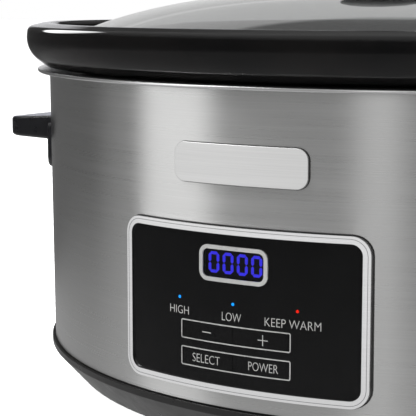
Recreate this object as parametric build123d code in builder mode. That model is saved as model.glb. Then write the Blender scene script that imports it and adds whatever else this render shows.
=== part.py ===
from build123d import *
import os
from math import atan2, cos, degrees, radians, sin, sqrt

# Oval slow cooker: a lift-out stoneware crock with a domed glass lid, in a heated steel housing
# with a control panel on its front. Millimetres, +Z up, +X along the oval, the front faces -Y.
# The origin lies under the middle of the feet, on the surface that the cooker stands on.

# ---- Driving dimensions ---------------------------------------------------------------------
HALF_LENGTH = 180.0        # steel wrap at its top edge, middle to end
HALF_WIDTH = 131.6         # middle to front
END_RADIUS = 73.3          # end arcs of the four-centre oval
WRAP_BOTTOM = 25.0
WRAP_TOP = 159.9
WRAP_LEAN = 1.08           # how far the wrap draws in between its top and its bottom edge
WRAP_GAUGE = 0.7

DRAFT = 0.11               # slope of the crock's and the well's walls, mm inward per mm down
CROCK_OFFSET = -18.0       # crock's outer wall from the wrap's oval, at the wrap's top
CROCK_WALL = 6.5
CROCK_BOTTOM = 44.0
CROCK_FLOOR = 8.0
RIM_BOTTOM = 163.0
RIM_BELLY = (12.2, 170.6)  # widest part of the rim before rounding: distance outside the oval, height
RIM_SHOULDER = (10.8, 182.4)  # where the rim's side turns into its gently crowned top
RIM_CROWN = (1.5, 184.6)
RIM_INNER = (-3.2, 183.2)
LEDGE_Z = 172.0            # step inside the rim that carries the lid
SEAT_Z = 162.6             # underside of the shoulder that the crock hangs by

WELL_CLEARANCE = 3.5       # air between crock and well
WELL_GAUGE = 0.8
FLANGE_Z = WRAP_TOP        # the well's flange lies on the wrap's top edge
BAND_BOTTOM, BAND_TOP = 50.0, 96.0
BAND_THICKNESS = 2.5

LID_INSET = -7.0           # lid's edge from the wrap's oval
LID_SEAT = 172.4
LID_GLASS = 3.6
LID_RISE = 24.0            # from the top of the lid's edge to its crown
LID_POWER = 2.83           # shape of the dome: 2 is a parabola, more is flatter with a steeper edge
KNOB_HEIGHT = 27.0

PAN_FLOOR = 5.0            # underside of the base pan
PAN_WALL = 2.5
FEET = [(x, y) for x in (-105.0, 105.0) for y in (-60.0, 60.0)]
FOOT_RADIUS = 11.0

PANEL_Z = 67.4             # middle height of the control panel
PANEL_SIZE = (119.4, 71.0)
PANEL_CORNER = 8.0
BEZEL_BAND = 3.2
FACE_FRONT = 0.9           # panel surfaces, measured out from the wrap's oval
FACE_BACK = -0.4
BEZEL_FRONT = 1.8
DISPLAY_Z = 87.1
DISPLAY_SIZE = (33.2, 15.4)
DISPLAY_BAND = 1.7
DIGIT_PITCH = 6.95
DIGIT_SIZE = (5.2, 9.0)
LIGHT_Z = 70.4
LIGHTS = {"high": -27.8, "low": 0.0, "warm": 29.6}
KEY_ROWS = {"upper": 57.0, "lower": 45.2}
KEYS = {
    "minus": ("upper", -1),
    "plus": ("upper", 1),
    "select": ("lower", -1),
    "power": ("lower", 1),
}
KEY_SIZE = (25.8, 6.8)
KEY_GAP = 0.3              # round each pair of keys
KEY_SPLIT = 0.24           # between the two keys of a pair
BOARD_Y = -122.0           # front of the control board
BOARD_THICKNESS = 1.6

BADGE_X, BADGE_Z = 1.7, 128.75
BADGE_SIZE = (64.0, 16.9)
BADGE_STUDS = (BADGE_X - 22.0, BADGE_X + 22.0)

HANDLE_REACH = 24.7        # beyond the wrap's end
HANDLE_HALF_WIDTH = 37.0
GRIP_ROOT_Z = (122.5, 135.6)  # grip, underside and top, just inside the wrap
GRIP_END_Z = (123.5, 133.2)
PLATE_Z = (108.0, 133.6)
PLATE_HALF_WIDTH = 39.2
PLATE_THICKNESS = 3.2
HANDLE_SCREW_Z = 128.5
HANDLE_SCREW_ANGLE = 17.5  # of each screw round the end arc
SCREW_RADIUS = 1.75

INLET_Z = 42.0
INLET_BORE = 3.6

# ---- The four-centre oval -------------------------------------------------------------------
END_CENTRE = HALF_LENGTH - END_RADIUS
SIDE_RADIUS = (END_CENTRE**2 + HALF_WIDTH**2 - END_RADIUS**2) / (2 * (HALF_WIDTH - END_RADIUS))
SIDE_CENTRE = SIDE_RADIUS - HALF_WIDTH
END_SPREAD = degrees(atan2(SIDE_CENTRE, END_CENTRE))
# Each arc: centre x, centre y, radius, start angle, angle swept
OVAL_ARCS = (
    (END_CENTRE, 0, END_RADIUS, -END_SPREAD, 2 * END_SPREAD),
    (0, -SIDE_CENTRE, SIDE_RADIUS, END_SPREAD, 180 - 2 * END_SPREAD),
    (-END_CENTRE, 0, END_RADIUS, 180 - END_SPREAD, 2 * END_SPREAD),
    (0, SIDE_CENTRE, SIDE_RADIUS, 180 + END_SPREAD, 180 - 2 * END_SPREAD),
)
MIDDLE = -60.0             # offset inside which floors are flat plates


def oval(offset=0.0, scale=1.0):
    """Face bounded by the wrap's top outline, moved out by offset or scaled about the middle."""
    with BuildLine() as outline:
        for x, y, radius, start, arc in OVAL_ARCS:
            CenterArc((x * scale, y * scale), (radius + offset) * scale, start, arc)
    make_face(outline.line)


def ring(points, radii=0.0, mode=Mode.ADD):
    """Carry a section round the oval; its points are (distance outside the oval, height)."""
    for x, y, radius, start, arc in OVAL_ARCS:
        out = Vector(cos(radians(start)), sin(radians(start)))
        radial = Plane(origin=Vector(x, y) + out * radius, x_dir=out, z_dir=(out.Y, -out.X, 0))
        with BuildSketch(radial) as section:
            with BuildLine():
                FilletPolyline(*points, radius=radii, close=True)
            make_face()
        revolve(section.sketch, axis=Axis((x, y, 0), (0, 0, 1)), revolution_arc=arc, mode=mode)


def plate(offset, low, high, mode=Mode.ADD):
    """Flat oval plate between two heights."""
    with BuildSketch(Plane.XY.offset(low)) as outline:
        oval(offset)
    extrude(outline.sketch, amount=high - low, mode=mode)


def wrap_offset(z):
    """Outer surface of the leaning steel wrap at a height."""
    return -WRAP_LEAN * (WRAP_TOP - z) / (WRAP_TOP - WRAP_BOTTOM)


def drafted(top_offset, z):
    """Offset at a height of a drafted wall whose offset at the wrap's top is given."""
    return top_offset - DRAFT * (WRAP_TOP - z)


def front_y(offset, x=0.0):
    """Y of the front arc at a distance outside the oval."""
    return SIDE_CENTRE - sqrt((SIDE_RADIUS + offset) ** 2 - x * x)


def front_outline(size, z, corner, x=0.0):
    """Rounded rectangle on the front, as seen from the front; its sketch plane looks along -Y."""
    with BuildSketch(Plane.XZ) as outline:
        with Locations((x, z)):
            RectangleRounded(size[0], size[1], corner)
    return outline.sketch


def front_block(size, z, corner, back, front, x=0.0):
    """Rounded block bent to the front wall, between two distances outside the oval."""
    outline = front_outline(size, z, corner, x)
    prism = extrude(outline, amount=HALF_WIDTH + front + 5, mode=Mode.PRIVATE)
    with BuildSketch(Plane.XY) as annulus:
        with Locations((0, SIDE_CENTRE)):
            Circle(SIDE_RADIUS + front)
            Circle(SIDE_RADIUS + back, mode=Mode.SUBTRACT)
    wall = extrude(annulus.sketch, amount=WRAP_TOP, mode=Mode.PRIVATE)
    add(prism & wall)


def front_cut(size, z, corner, x=0.0):
    """Cut a rounded rectangle through the front, along Y."""
    extrude(front_outline(size, z, corner, x), amount=HALF_WIDTH + 10, mode=Mode.SUBTRACT)


def cylinder_y(x, z, radius, y_from, y_to, mode=Mode.ADD):
    """Round bar along Y."""
    with BuildSketch(Plane.XZ.offset(-y_from)) as disc:
        with Locations((x, z)):
            Circle(radius)
    extrude(disc.sketch, amount=y_from - y_to, mode=mode)


def upright(x, y, radius, low, high, mode=Mode.ADD):
    """Round bar along Z."""
    with BuildSketch(Plane.XY.offset(low)) as disc:
        with Locations((x, y)):
            Circle(radius)
    extrude(disc.sketch, amount=high - low, mode=mode)


def block(x_range, y_range, z_range, mode=Mode.ADD):
    """Rectangular block between two coordinates along each axis."""
    with BuildSketch(Plane.XY.offset(z_range[0])) as footprint:
        with Locations((sum(x_range) / 2, sum(y_range) / 2)):
            Rectangle(x_range[1] - x_range[0], y_range[1] - y_range[0])
    extrude(footprint.sketch, amount=z_range[1] - z_range[0], mode=mode)


def end_plane(side, angle, offset, z):
    """Plane on the end wall with its normal pointing out; side is 1 at +X and -1 at -X."""
    out = Vector(side * cos(radians(angle)), sin(radians(angle)))
    return Plane(origin=Vector(side * END_CENTRE, 0, z) + out * (END_RADIUS + offset), z_dir=out)


def end_screw_planes(offset):
    """Where the handle screws cross an offset of the end walls, two at each end."""
    return [
        end_plane(side, angle, offset, HANDLE_SCREW_Z)
        for side in (1, -1)
        for angle in (-HANDLE_SCREW_ANGLE, HANDLE_SCREW_ANGLE)
    ]


def end_bars(offset, radius, length, mode=Mode.ADD):
    """Round bars along the handle screws' axes, starting at an offset of the end walls."""
    for end in end_screw_planes(offset):
        with BuildSketch(end) as disc:
            Circle(radius)
        extrude(disc.sketch, amount=length, mode=mode)


def save(builder, name):
    """Label a finished piece and write it to parts/."""
    builder.part.label = name
    export_step(builder.part, f"parts/{name}.step")


os.makedirs("parts", exist_ok=True)

# ==== Housing ================================================================================
# Panel cutout in the wrap and the tray that fills it
CUTOUT_SIZE = (PANEL_SIZE[0] - 11.4, PANEL_SIZE[1] - 10.8)
CUTOUT_CORNER = 4.5
TRAY_SIZE = (CUTOUT_SIZE[0] - 1.4, CUTOUT_SIZE[1] - 1.4)
FRONT_WALL = (-100.0, -HALF_WIDTH - 5)  # spans of Y that a hole through each wall is cut over
REAR_WALL = (HALF_WIDTH + 5, 100.0)

# Brushed steel wrap, leaning in towards the bottom
BADGE_HOLE = 1.7
INLET_HOLE = 7.0
HANDLE_HOLE = 2.2
with BuildPart() as outer_wrap:
    ring(
        [
            (0, WRAP_TOP),
            (-WRAP_GAUGE, WRAP_TOP),
            (-WRAP_LEAN - WRAP_GAUGE, WRAP_BOTTOM),
            (-WRAP_LEAN, WRAP_BOTTOM),
        ]
    )
    front_cut(CUTOUT_SIZE, PANEL_Z, CUTOUT_CORNER)
    for stud_x in BADGE_STUDS:
        cylinder_y(stud_x, BADGE_Z, BADGE_HOLE, *FRONT_WALL, mode=Mode.SUBTRACT)
    cylinder_y(0, INLET_Z, INLET_HOLE, *REAR_WALL, mode=Mode.SUBTRACT)
    end_bars(-10, HANDLE_HOLE, 20, mode=Mode.SUBTRACT)
save(outer_wrap, "outer_wrap")

# Rolled steel ring over the wrap's top edge and the well's flange
RING_OUT = 6.05
RING_GAUGE = 1.0
RING_INNER = -11.0
RING_TOP = FLANGE_Z + WELL_GAUGE + RING_GAUGE + 0.05
BEAD_HEIGHT = 1.8
with BuildPart() as rim_ring:
    ring(
        [
            (RING_INNER, RING_TOP - RING_GAUGE),
            (RING_INNER, RING_TOP),
            (RING_OUT, RING_TOP),
            (RING_OUT, RING_TOP - BEAD_HEIGHT),
            (RING_OUT - 1.8, RING_TOP - BEAD_HEIGHT),
            (RING_OUT - 1.8, RING_TOP - RING_GAUGE),
        ],
        [0, 0, 0.88, 0.88, 0.5, 0],
    )
save(rim_ring, "rim_ring")

# Deep-drawn heating well that hangs by its flange
WELL_INNER = CROCK_OFFSET + WELL_CLEARANCE
WELL_OUTER = WELL_INNER + WELL_GAUGE
WELL_FLOOR = CROCK_BOTTOM - WELL_CLEARANCE
WELL_BOTTOM = WELL_FLOOR - WELL_GAUGE
WELL_CORNER = 30.0
with BuildPart() as heating_well:
    ring(
        [
            (0, FLANGE_Z + WELL_GAUGE),
            (drafted(WELL_INNER, FLANGE_Z + WELL_GAUGE), FLANGE_Z + WELL_GAUGE),
            (drafted(WELL_INNER, WELL_FLOOR), WELL_FLOOR),
            (MIDDLE, WELL_FLOOR),
            (MIDDLE, WELL_BOTTOM),
            (drafted(WELL_OUTER, WELL_BOTTOM), WELL_BOTTOM),
            (drafted(WELL_OUTER, FLANGE_Z), FLANGE_Z),
            (0, FLANGE_Z),
        ],
        [0, 3.0, WELL_CORNER, 0, 0, WELL_CORNER + WELL_GAUGE, 2.2, 0],
    )
    plate(MIDDLE + 2, WELL_BOTTOM, WELL_FLOOR)
save(heating_well, "heating_well")

# Heating band wrapped round the well; its two ends are turned out into lugs at the back
BAND_GAP = 0.1
LUG_X = (6.5, 8.5)
LUG_Y = (110.0, 121.0)
LUG_Z = (66.0, 80.0)
CLAMP_Y, CLAMP_Z = 116.5, 73.0
CLAMP_RADIUS = 2.0
with BuildPart() as heating_band:
    band_low = drafted(WELL_OUTER, BAND_BOTTOM) + BAND_GAP
    band_high = drafted(WELL_OUTER, BAND_TOP) + BAND_GAP
    ring(
        [
            (band_low, BAND_BOTTOM),
            (band_low + BAND_THICKNESS, BAND_BOTTOM),
            (band_high + BAND_THICKNESS, BAND_TOP),
            (band_high, BAND_TOP),
        ]
    )
    block((-LUG_X[0], LUG_X[0]), (50, LUG_Y[1]), (BAND_BOTTOM - 1, BAND_TOP + 1), mode=Mode.SUBTRACT)
    for side in (1, -1):
        block(sorted((side * LUG_X[0], side * LUG_X[1])), LUG_Y, LUG_Z)
    with BuildSketch(Plane.YZ.offset(-20)):
        with Locations((CLAMP_Y, CLAMP_Z)):
            Circle(CLAMP_RADIUS + 0.2)
    extrude(amount=40, mode=Mode.SUBTRACT)
save(heating_band, "heating_band")

# Bolt and nut that draw the band's lugs together
with BuildPart() as band_clamp:
    for radius, start, length in ((CLAMP_RADIUS, -14.0, 24.0), (3.5, 9.0, 3.0)):
        with BuildSketch(Plane.YZ.offset(start)):
            with Locations((CLAMP_Y, CLAMP_Z)):
                Circle(radius)
        extrude(amount=length)
    with BuildSketch(Plane.YZ.offset(-12.0)):
        with Locations((CLAMP_Y, CLAMP_Z)):
            RegularPolygon(3.5, 6, major_radius=False)
            Circle(CLAMP_RADIUS + 0.05, mode=Mode.SUBTRACT)
    extrude(amount=3.2)
save(band_clamp, "band_clamp")

# Bent sheet that keeps the band's heat from the control board
SHIELD_OFFSET = -16.3
SHIELD_SIZE = (116.0, 70.0)
SHIELD_GAUGE = 0.6
with BuildPart() as heat_shield:
    front_block(SHIELD_SIZE, PANEL_Z + 1, 4, SHIELD_OFFSET, SHIELD_OFFSET + SHIELD_GAUGE)
save(heat_shield, "heat_shield")

# Base pan: a short vertical band, a sloping flank, a flat floor and an inner lip for the wrap
BASE_OUT = 0.5             # band under the wrap, from the oval
SEAM = 0.6                 # shadow gap under the wrap's edge
LIP_OUT, LIP_IN, LIP_TOP = -2.2, -4.6, 33.0
CUP_TOP = 13.0             # hollow in the floor's underside for the middle nut
CUP_RADIUS = 15.0
BOSS_TOP = 17.0
STUD_RADIUS = 3.0
FOOT_SCREW_RADIUS = 1.6
BOARD_SCREW_RADIUS = 1.2
BOARD_BOSSES = [(x, y) for x in (-84.0, -12.0) for y in (6.0, 54.0)]
POWER_BOARD_Z = (16.0, 17.6)
with BuildPart() as base_pan:
    ring(
        [
            (BASE_OUT, WRAP_BOTTOM - SEAM),
            (BASE_OUT, 21.4),
            (-13.2, 6.6),
            (-16.6, PAN_FLOOR),
            (MIDDLE, PAN_FLOOR),
            (MIDDLE, PAN_FLOOR + PAN_WALL),
            (-17.4, PAN_FLOOR + PAN_WALL),
            (-15.0, 8.7),
            (LIP_IN, 19.4),
            (LIP_IN, LIP_TOP),
            (LIP_OUT, LIP_TOP),
            (LIP_OUT, WRAP_BOTTOM),
            (-0.9, WRAP_BOTTOM),
            (-0.9, WRAP_BOTTOM - SEAM),
        ],
        [0.4, 0.8, 2.5, 3.0, 0, 0, 2.0, 2.0, 1.0, 0.5, 0.5, 0, 0, 0],
    )
    plate(MIDDLE + 2, PAN_FLOOR, PAN_FLOOR + PAN_WALL)
    upright(0, 0, CUP_RADIUS, PAN_FLOOR, CUP_TOP)
    upright(0, 0, CUP_RADIUS - PAN_WALL, PAN_FLOOR, CUP_TOP - PAN_WALL, mode=Mode.SUBTRACT)
    upright(0, 0, STUD_RADIUS + 0.4, 0, CUP_TOP + 1, mode=Mode.SUBTRACT)
    for foot_x, foot_y in FEET:
        upright(foot_x, foot_y, 4.5, PAN_FLOOR, BOSS_TOP)
        upright(foot_x, foot_y, FOOT_SCREW_RADIUS + 0.1, 0, BOSS_TOP - 1, mode=Mode.SUBTRACT)
    for boss_x, boss_y in BOARD_BOSSES:
        upright(boss_x, boss_y, 3.0, PAN_FLOOR, POWER_BOARD_Z[0])
        upright(boss_x, boss_y, BOARD_SCREW_RADIUS + 0.05, 8.0, BOSS_TOP, mode=Mode.SUBTRACT)
    # two rows of cooling slots through the floor
    for slot_y in (-36.0, -82.0):
        with BuildSketch(Plane.XY.offset(PAN_FLOOR - 1)):
            with Locations((0, slot_y)):
                with GridLocations(9.0, 0, 9, 1):
                    SlotOverall(20, 3, rotation=90)
        extrude(amount=PAN_WALL + 2, mode=Mode.SUBTRACT)
save(base_pan, "base_pan")

# Four rubber feet, each on a screw into the pan's boss
FOOT_HOLE = 2.1
FOOT_RECESS = 4.3          # sinks the screw's head into the foot
with BuildPart() as rubber_feet:
    with BuildSketch(Plane.XZ):
        with BuildLine():
            FilletPolyline(
                (FOOT_RECESS, 0),
                (FOOT_RADIUS - 0.6, 0),
                (FOOT_RADIUS, PAN_FLOOR),
                (FOOT_HOLE, PAN_FLOOR),
                (FOOT_HOLE, 3.0),
                (FOOT_RECESS, 3.0),
                radius=[0, 1.0, 0, 0, 0, 0],
                close=True,
            )
        make_face()
    one_foot = revolve(axis=Axis.Z, mode=Mode.PRIVATE)
    with Locations(*FEET):
        add(one_foot)
save(rubber_feet, "rubber_feet")

with BuildPart() as foot_screws:
    for foot_x, foot_y in FEET:
        upright(foot_x, foot_y, 3.8, 1.0, 3.0)
        upright(foot_x, foot_y, FOOT_SCREW_RADIUS, 2.0, BOSS_TOP - 2)
        slot = (foot_y - 2.6, foot_y + 2.6)
        block((foot_x - 0.5, foot_x + 0.5), slot, (0, 1.9), mode=Mode.SUBTRACT)
save(foot_screws, "foot_screws")

# Stud welded under the well; its nut pulls the pan, the wrap and the well together
with BuildPart() as tie_stud:
    upright(0, 0, STUD_RADIUS, 5.4, WELL_BOTTOM)
    upright(0, 0, 9.0, WELL_BOTTOM - 1.5, WELL_BOTTOM)
save(tie_stud, "tie_stud")

NUT_Z = 6.2
NUT_HEIGHT = 3.4
with BuildPart() as tie_nut:
    with BuildSketch(Plane.XY.offset(NUT_Z)):
        RegularPolygon(5.0, 6, major_radius=False)
        Circle(STUD_RADIUS + 0.05, mode=Mode.SUBTRACT)
    extrude(amount=NUT_HEIGHT)
    fillet(edges().filter_by(GeomType.CIRCLE).group_by(Axis.Z)[0], 0.04)
save(tie_nut, "tie_nut")

with BuildPart() as tie_washer:
    upright(0, 0, 8.0, NUT_Z + NUT_HEIGHT, CUP_TOP - PAN_WALL)
    upright(0, 0, STUD_RADIUS + 0.2, NUT_Z, CUP_TOP, mode=Mode.SUBTRACT)
save(tie_washer, "tie_washer")

# Bushing in the rear wall where the mains lead would enter
INLET_Y = HALF_WIDTH + wrap_offset(INLET_Z)
with BuildPart() as inlet_bushing:
    cylinder_y(0, INLET_Z, 9.5, INLET_Y + 2.8, INLET_Y + 0.1)
    fillet(edges().group_by(Axis.Y)[-1], 0.8)
    cylinder_y(0, INLET_Z, INLET_HOLE - 0.2, INLET_Y + 0.1, INLET_Y - 10.2)
    cylinder_y(0, INLET_Z, INLET_BORE, INLET_Y + 5, INLET_Y - 15, mode=Mode.SUBTRACT)
save(inlet_bushing, "inlet_bushing")

with BuildPart() as inlet_nut:
    with BuildSketch(Plane.XZ.offset(-(INLET_Y - 1.2))):
        with Locations((0, INLET_Z)):
            RegularPolygon(9.0, 6, major_radius=False)
            Circle(INLET_HOLE - 0.1, mode=Mode.SUBTRACT)
    extrude(amount=4.0)
save(inlet_nut, "inlet_nut")

# ==== Handles ================================================================================
GRIP_START = HALF_LENGTH - 15.0
GRIP_END = HALF_LENGTH + HANDLE_REACH
GRIP_ROOT_HALF_WIDTH = 37.8
GRIP_CORNER = 13.0         # seen from above
GRIP_ROUND = 3.6           # outer end, seen from the side
GRIP_EDGE = 1.8
GRIP_HEIGHT = 20.0         # more than the grip's thickness
PLATE_CORNER = 6.0
PLATE_EDGE = 1.4
ROOT_FILLET = 1.5
POCKET_WALL = 4.0
POCKET_START = HALF_LENGTH + 8.0
POCKET_TOP = 130.0
HANDLE_BACK = -0.1         # back of the handle from the oval, just clear of the wrap


def grip_side(clearance=0.0, radius=0.0):
    """Side view of the grip, which thins towards its outer end."""
    with BuildSketch(Plane.XZ.offset(-PLATE_HALF_WIDTH)) as profile:
        with BuildLine() as outline:
            FilletPolyline(
                (GRIP_START, GRIP_ROOT_Z[0] - clearance),
                (GRIP_END + clearance, GRIP_END_Z[0] - clearance),
                (GRIP_END + clearance, GRIP_END_Z[1] + clearance),
                (GRIP_START, GRIP_ROOT_Z[1] + clearance),
                radius=[0, radius, radius, 0],
                close=True,
            )
        make_face(outline.line)
    return profile.sketch


# Backing plate bent to the end wall
with BuildPart() as back_plate:
    with BuildSketch(Plane.YZ.offset(END_CENTRE)):
        with Locations((0, sum(PLATE_Z) / 2)):
            RectangleRounded(2 * PLATE_HALF_WIDTH, PLATE_Z[1] - PLATE_Z[0], PLATE_CORNER)
    extrude(amount=HALF_LENGTH)
    plate(PLATE_THICKNESS, 0, WRAP_TOP, mode=Mode.INTERSECT)
    outer_face = back_plate.faces().filter_by(GeomType.CYLINDER).sort_by(SortBy.AREA)[-1]
    fillet(outer_face.edges(), PLATE_EDGE)

# Black moulded handle: backing plate and a grip with a pocket for the fingers underneath
with BuildPart() as handle_right:
    extrude(grip_side(), amount=2 * PLATE_HALF_WIDTH)
    with BuildSketch(Plane.XY.offset(GRIP_ROOT_Z[0] - 1)):
        with BuildLine():
            FilletPolyline(
                (GRIP_START, -GRIP_ROOT_HALF_WIDTH),
                (HALF_LENGTH - 12, -GRIP_ROOT_HALF_WIDTH),
                (GRIP_END, -HANDLE_HALF_WIDTH),
                (GRIP_END, HANDLE_HALF_WIDTH),
                (HALF_LENGTH - 12, GRIP_ROOT_HALF_WIDTH),
                (GRIP_START, GRIP_ROOT_HALF_WIDTH),
                radius=[0, 0, GRIP_CORNER, GRIP_CORNER, 0, 0],
                close=True,
            )
        make_face()
    extrude(amount=GRIP_HEIGHT, mode=Mode.INTERSECT)
    underside, *_, top = handle_right.faces().sort_by(Axis.Z)
    fillet(underside.edges() + top.edges(), GRIP_EDGE)
    extrude(grip_side(0.02, GRIP_ROUND), amount=2 * PLATE_HALF_WIDTH, mode=Mode.INTERSECT)
    add(back_plate.part)
    plate(HANDLE_BACK, 0, WRAP_TOP, mode=Mode.SUBTRACT)
    # fillet where the grip's underside meets the plate
    under_root = handle_right.edges().filter_by(GeomType.ELLIPSE).sort_by(Edge.length)[-2:]
    fillet(under_root.sort_by(Axis.Z)[0], ROOT_FILLET)
    block_length = GRIP_END - POCKET_WALL - POCKET_START
    with BuildSketch(Plane.XY.offset(GRIP_ROOT_Z[0] - 1)):
        with Locations((POCKET_START + block_length / 2, 0)):
            RectangleRounded(block_length, 2 * HANDLE_HALF_WIDTH - 14, 4)
    extrude(amount=POCKET_TOP - GRIP_ROOT_Z[0] + 1, mode=Mode.SUBTRACT)
    end_bars(HANDLE_BACK - 2, SCREW_RADIUS + 0.05, 10.5, mode=Mode.SUBTRACT)
save(handle_right, "handle_right")

with BuildPart() as handle_left:
    mirror(handle_right.part, about=Plane.YZ)
save(handle_left, "handle_left")

# Steel plates inside the wrap that spread the handle screws' load
REINFORCEMENT = (-2.3, -1.1)
REINFORCEMENT_SIZE = (62.0, 20.0)
SCREW_HEAD = (3.6, 2.0)    # radius and height
HEAD_GAP = 0.12            # a flat head on a hollow wall
with BuildPart() as handle_reinforcements:
    for side in (1, -1):
        with BuildSketch(Plane.YZ.offset(side * END_CENTRE)):
            with Locations((0, HANDLE_SCREW_Z - 3)):
                RectangleRounded(*REINFORCEMENT_SIZE, 4)
        extrude(amount=side * HALF_LENGTH)
    plate(REINFORCEMENT[1], 0, WRAP_TOP, mode=Mode.INTERSECT)
    plate(REINFORCEMENT[0], 0, WRAP_TOP, mode=Mode.SUBTRACT)
    end_bars(-10, HANDLE_HOLE, 20, mode=Mode.SUBTRACT)
save(handle_reinforcements, "handle_reinforcements")

with BuildPart() as handle_screws:
    screw_start = REINFORCEMENT[0] - HEAD_GAP - SCREW_HEAD[1]
    end_bars(screw_start, SCREW_HEAD[0], SCREW_HEAD[1])
    end_bars(screw_start, SCREW_RADIUS, SCREW_HEAD[1] + 10.0)
save(handle_screws, "handle_screws")

# ==== Crock and lid ==========================================================================
CROCK_INNER = CROCK_OFFSET - CROCK_WALL
CROCK_TOP_FLOOR = CROCK_BOTTOM + CROCK_FLOOR
with BuildPart() as crock:
    ring(
        [
            (2.0, RIM_BOTTOM),
            RIM_BELLY,
            RIM_SHOULDER,
            RIM_CROWN,
            RIM_INNER,
            (RIM_INNER[0], LEDGE_Z),
            (-17.5, LEDGE_Z),
            (drafted(CROCK_INNER, 168.0), 168.0),
            (drafted(CROCK_INNER, CROCK_TOP_FLOOR), CROCK_TOP_FLOOR),
            (MIDDLE, CROCK_TOP_FLOOR),
            (MIDDLE, CROCK_BOTTOM),
            (drafted(CROCK_OFFSET, CROCK_BOTTOM), CROCK_BOTTOM),
            (drafted(CROCK_OFFSET, SEAT_Z), SEAT_Z),
            (0.0, SEAT_Z),
        ],
        [1.2, 13.8, 3.3, 9.0, 3.0, 1.5, 3.5, 6.0, 22.0, 0, 0, 27.0, 2.0, 1.0],
    )
    plate(MIDDLE + 2, CROCK_BOTTOM, CROCK_TOP_FLOOR)
    plate(MIDDLE + 8, CROCK_BOTTOM, CROCK_BOTTOM + 1.2, mode=Mode.SUBTRACT)
save(crock, "crock")


def dome(edge_scale, base, rise, rounds=(1.0, 0.96, 0.9, 0.8, 0.67, 0.52, 0.36, 0.22, 0.1)):
    """Dome lofted through scaled ovals; its height falls off from the crown as a power."""
    sections = []
    for part_way in rounds:
        with BuildSketch(Plane.XY.offset(base + rise * (1 - part_way**LID_POWER))) as section:
            oval(LID_INSET, edge_scale * part_way)
        sections.append(section.sketch)
    loft(sections)


KNOB_HOLE = 3.2
LID_EDGE_TOP = LID_SEAT + LID_GLASS
INNER_SCALE = 0.965
CROWN = LID_EDGE_TOP + LID_RISE * (1 - 0.1**LID_POWER)
UNDER_CROWN = LID_SEAT + (LID_RISE - 0.2) * (1 - 0.1**LID_POWER)
with BuildPart() as glass_hollow:
    dome(INNER_SCALE, LID_SEAT, LID_RISE - 0.2)

with BuildPart() as lid_glass:
    plate(LID_INSET, LID_SEAT, LID_EDGE_TOP)
    dome(1.0, LID_EDGE_TOP, LID_RISE)
    add(glass_hollow.part, mode=Mode.SUBTRACT)
    upright(0, 0, KNOB_HOLE, LID_SEAT, CROWN + 5, mode=Mode.SUBTRACT)
save(lid_glass, "lid_glass")

# Turned knob on a silicone pad, held by a screw from inside the lid
PAD = 0.8
KNOB_BASE = CROWN + PAD
KNOB_TOP = KNOB_BASE + KNOB_HEIGHT
with BuildPart() as knob_pad:
    upright(0, 0, 10.0, CROWN, KNOB_BASE)
    upright(0, 0, KNOB_HOLE, CROWN - 1, KNOB_BASE + 1, mode=Mode.SUBTRACT)
save(knob_pad, "knob_pad")

# Outline of the knob above its foot: radius and height over its base
KNOB_OUTLINE = [(24.0, 2.0), (13.5, 6.5), (10.5, 12.0), (20.0, 20.5), (19.5, 24.4), (9.0, 26.7)]
with BuildPart() as lid_knob:
    with BuildSketch(Plane.XZ):
        with BuildLine():
            outline = [(radius, KNOB_BASE + height) for radius, height in KNOB_OUTLINE]
            Polyline((0, KNOB_BASE), (23.5, KNOB_BASE), outline[0])
            Spline(*outline, (0, KNOB_TOP), tangents=((-0.9, 0.35), (-1, 0)))
            Line((0, KNOB_TOP), (0, KNOB_BASE))
        make_face()
    revolve(axis=Axis.Z)
    upright(0, 0, 2.1, KNOB_BASE - 1, KNOB_BASE + 15, mode=Mode.SUBTRACT)
save(lid_knob, "lid_knob")

with BuildPart() as knob_screw:
    upright(0, 0, 6.5, UNDER_CROWN - 0.9, UNDER_CROWN)
    upright(0, 0, 4.2, UNDER_CROWN - 3.4, UNDER_CROWN - 0.9)
    upright(0, 0, 2.0, UNDER_CROWN - 1, KNOB_BASE + 13)
    block((-3.0, 3.0), (-0.5, 0.5), (UNDER_CROWN - 4, UNDER_CROWN - 2.2), mode=Mode.SUBTRACT)
save(knob_screw, "knob_screw")

# ==== Badge ==================================================================================
STUD_END = -125.0
CLIP_SPAN = (-127.2, -128.0)
with BuildPart() as badge_plate:
    front_block(BADGE_SIZE, BADGE_Z, 5.0, -0.1, 1.1, x=BADGE_X)
    fillet(edges().group_by(Axis.Y)[0], 0.3)
    for stud_x in BADGE_STUDS:
        cylinder_y(stud_x, BADGE_Z, BADGE_HOLE - 0.2, STUD_END, front_y(0.4, stud_x))
save(badge_plate, "badge_plate")

with BuildPart() as badge_clips:
    for stud_x in BADGE_STUDS:
        cylinder_y(stud_x, BADGE_Z, 4.0, *CLIP_SPAN)
        cylinder_y(stud_x, BADGE_Z, BADGE_HOLE - 0.15, *FRONT_WALL, mode=Mode.SUBTRACT)
save(badge_clips, "badge_clips")

# ==== Control panel ==========================================================================
FACE_SIZE = (PANEL_SIZE[0] - 2 * BEZEL_BAND, PANEL_SIZE[1] - 2 * BEZEL_BAND)
FACE_CORNER = PANEL_CORNER - BEZEL_BAND
WINDOW_SIZE = (DISPLAY_SIZE[0] - 2 * DISPLAY_BAND, DISPLAY_SIZE[1] - 2 * DISPLAY_BAND)
WINDOW_CORNER = 2.6
LIGHT_RADIUS = 0.65

# Bright frame with a bevelled outer edge
with BuildPart() as panel_bezel:
    front_block(PANEL_SIZE, PANEL_Z, PANEL_CORNER, -0.2, BEZEL_FRONT)
    fillet(faces().filter_by(GeomType.CYLINDER).sort_by(SortBy.AREA)[-1].edges(), 1.1)
    front_cut(FACE_SIZE, PANEL_Z, FACE_CORNER)
save(panel_bezel, "panel_bezel")

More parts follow.
